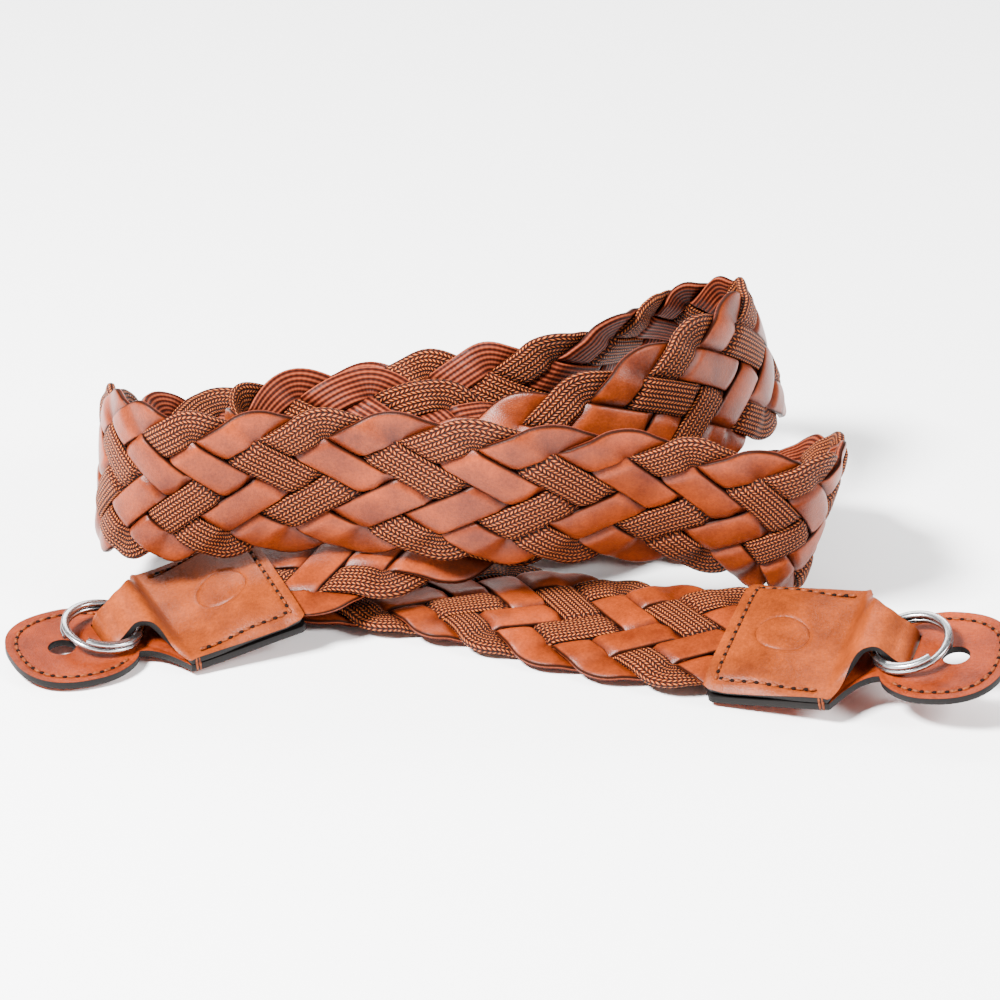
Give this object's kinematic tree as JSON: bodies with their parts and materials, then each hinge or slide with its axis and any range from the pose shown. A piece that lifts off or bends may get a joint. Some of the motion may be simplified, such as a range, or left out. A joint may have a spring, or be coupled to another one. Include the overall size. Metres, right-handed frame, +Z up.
{
  "type": "camera strap",
  "caption": "Flat braided leather and woven camera strap, coiled on the table, with a stitched leather tab, a flap and a split ring at each end.",
  "frame": {"origin": "on the table, under the middle of the coiled strap's box", "axes": "+X to the right along the coil's long way, from the left tab to the right tab; +Y away from the tabs, to the back of the coil; +Z up"},
  "size_m": [0.1788, 0.126, 0.0466],
  "materials": {
    "leather_thong_1": "smooth, waxed",
    "leather_thong_2": "smooth, waxed",
    "leather_thong_3": "smooth, waxed",
    "leather_thong_4": "smooth, waxed",
    "tab_cover_left": "smooth, waxed",
    "tab_base_left": "smooth, waxed",
    "tab_cover_right": "smooth, waxed",
    "tab_base_right": "smooth, waxed",
    "woven_cord_1": "flat plaited yarn",
    "woven_cord_2": "flat plaited yarn",
    "woven_cord_3": "flat plaited yarn",
    "split_ring_left": "bright satin",
    "split_ring_right": "bright satin"
  },
  "bodies": {
    "root": {"leather_thong_1": "leather_thong_1", "leather_thong_2": "leather_thong_2", "leather_thong_3": "leather_thong_3", "leather_thong_4": "leather_thong_4", "woven_cord_1": "woven_cord_1", "woven_cord_2": "woven_cord_2", "woven_cord_3": "woven_cord_3", "tab_cover_left": "tab_cover_left", "tab_base_left": "tab_base_left", "tab_cover_right": "tab_cover_right", "tab_base_right": "tab_base_right", "split_ring_left": "split_ring_left", "split_ring_right": "split_ring_right"}
  },
  "joints": []
}
